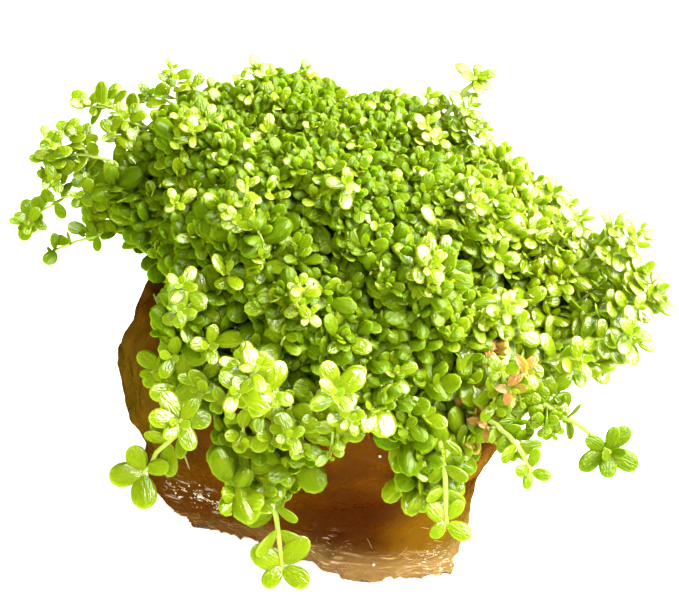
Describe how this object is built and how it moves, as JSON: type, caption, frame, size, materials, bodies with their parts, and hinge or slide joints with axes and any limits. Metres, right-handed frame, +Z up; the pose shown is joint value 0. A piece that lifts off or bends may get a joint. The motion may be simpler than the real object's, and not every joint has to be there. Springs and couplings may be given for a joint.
{
  "type": "potted dwarf baby tears",
  "caption": "Dome of tiny glossy round-leaved creeping stems growing out of a squat plug of wet amber wool, its sprigs trailing over the edge.",
  "frame": {"origin": "middle of the flat base of the growing plug", "axes": "+Z up; -Y is the front, where the longest sprigs hang down; +X to the right, along the wider way of the foliage"},
  "size_m": [0.0743, 0.0542, 0.0523],
  "materials": {
    "wet_wool": "wet, soaked amber-brown fibres with small glints",
    "shaded_foliage": "dense stems and leaves in shade",
    "leaf": "glossy bright yellow-green leaf with a paler rim"
  },
  "bodies": {
    "root": {"front_centre_sprig": "leaf", "front_left_sprig": "leaf", "front_long_sprig": "leaf", "front_right_sprig": "leaf", "front_rosette_sprig": "leaf", "front_upper_sprig": "leaf", "growing_plug": "wet_wool", "leafy_mat": "shaded_foliage", "left_back_sprig": "leaf", "left_crown_sprig": "leaf", "left_long_sprig": "leaf", "left_low_sprig": "leaf", "left_middle_sprig": "leaf", "left_rim_sprig": "leaf", "left_upper_sprig": "leaf", "mat_sprig_01": "leaf", "mat_sprig_02": "leaf", "mat_sprig_03": "leaf", "mat_sprig_04": "leaf", "mat_sprig_05": "leaf", "mat_sprig_06": "leaf", "mat_sprig_07": "leaf", "mat_sprig_08": "leaf", "mat_sprig_09": "leaf", "mat_sprig_10": "leaf", "mat_sprig_11": "leaf", "mat_sprig_12": "leaf", "mat_sprig_13": "leaf", "mat_sprig_14": "leaf", "right_back_sprig": "leaf", "right_hanging_sprig": "leaf", "right_high_sprig": "leaf", "right_long_sprig": "leaf", "right_lower_sprig": "leaf", "right_short_sprig": "leaf", "right_trailing_sprig": "leaf", "tall_crown_sprig": "leaf"}
  },
  "joints": []
}
